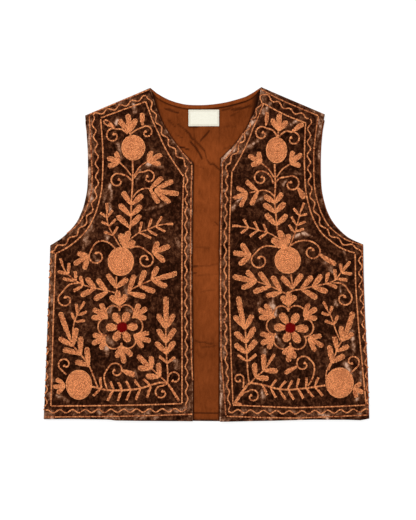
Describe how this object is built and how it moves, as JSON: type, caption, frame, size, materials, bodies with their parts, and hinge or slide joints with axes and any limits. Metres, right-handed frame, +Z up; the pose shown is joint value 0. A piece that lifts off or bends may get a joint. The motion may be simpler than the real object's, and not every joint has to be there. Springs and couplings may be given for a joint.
{
  "type": "embroidered waistcoat",
  "caption": "Open sleeveless velvet waistcoat with a V neck, a contrast lining and floral chain stitch embroidery, laid flat with its fronts upwards.",
  "frame": {"origin": "on the surface that the garment lies on, under the middle of its outline", "axes": "+X from the wearer's right to the wearer's left, +Y from the hem to the shoulders, +Z up, out of the fronts"},
  "size_m": [0.5216, 0.5344, 0.0072],
  "materials": {
    "velvet": "crushed velvet, dark brown",
    "lining_cotton": "plain woven cotton, rust brown",
    "label_weave": "woven satin, cream"
  },
  "bodies": {
    "root": {"back": "velvet", "back_lining": "lining_cotton", "right_front": "velvet", "left_front": "velvet", "neck_binding": "lining_cotton", "label": "label_weave"}
  },
  "joints": []
}
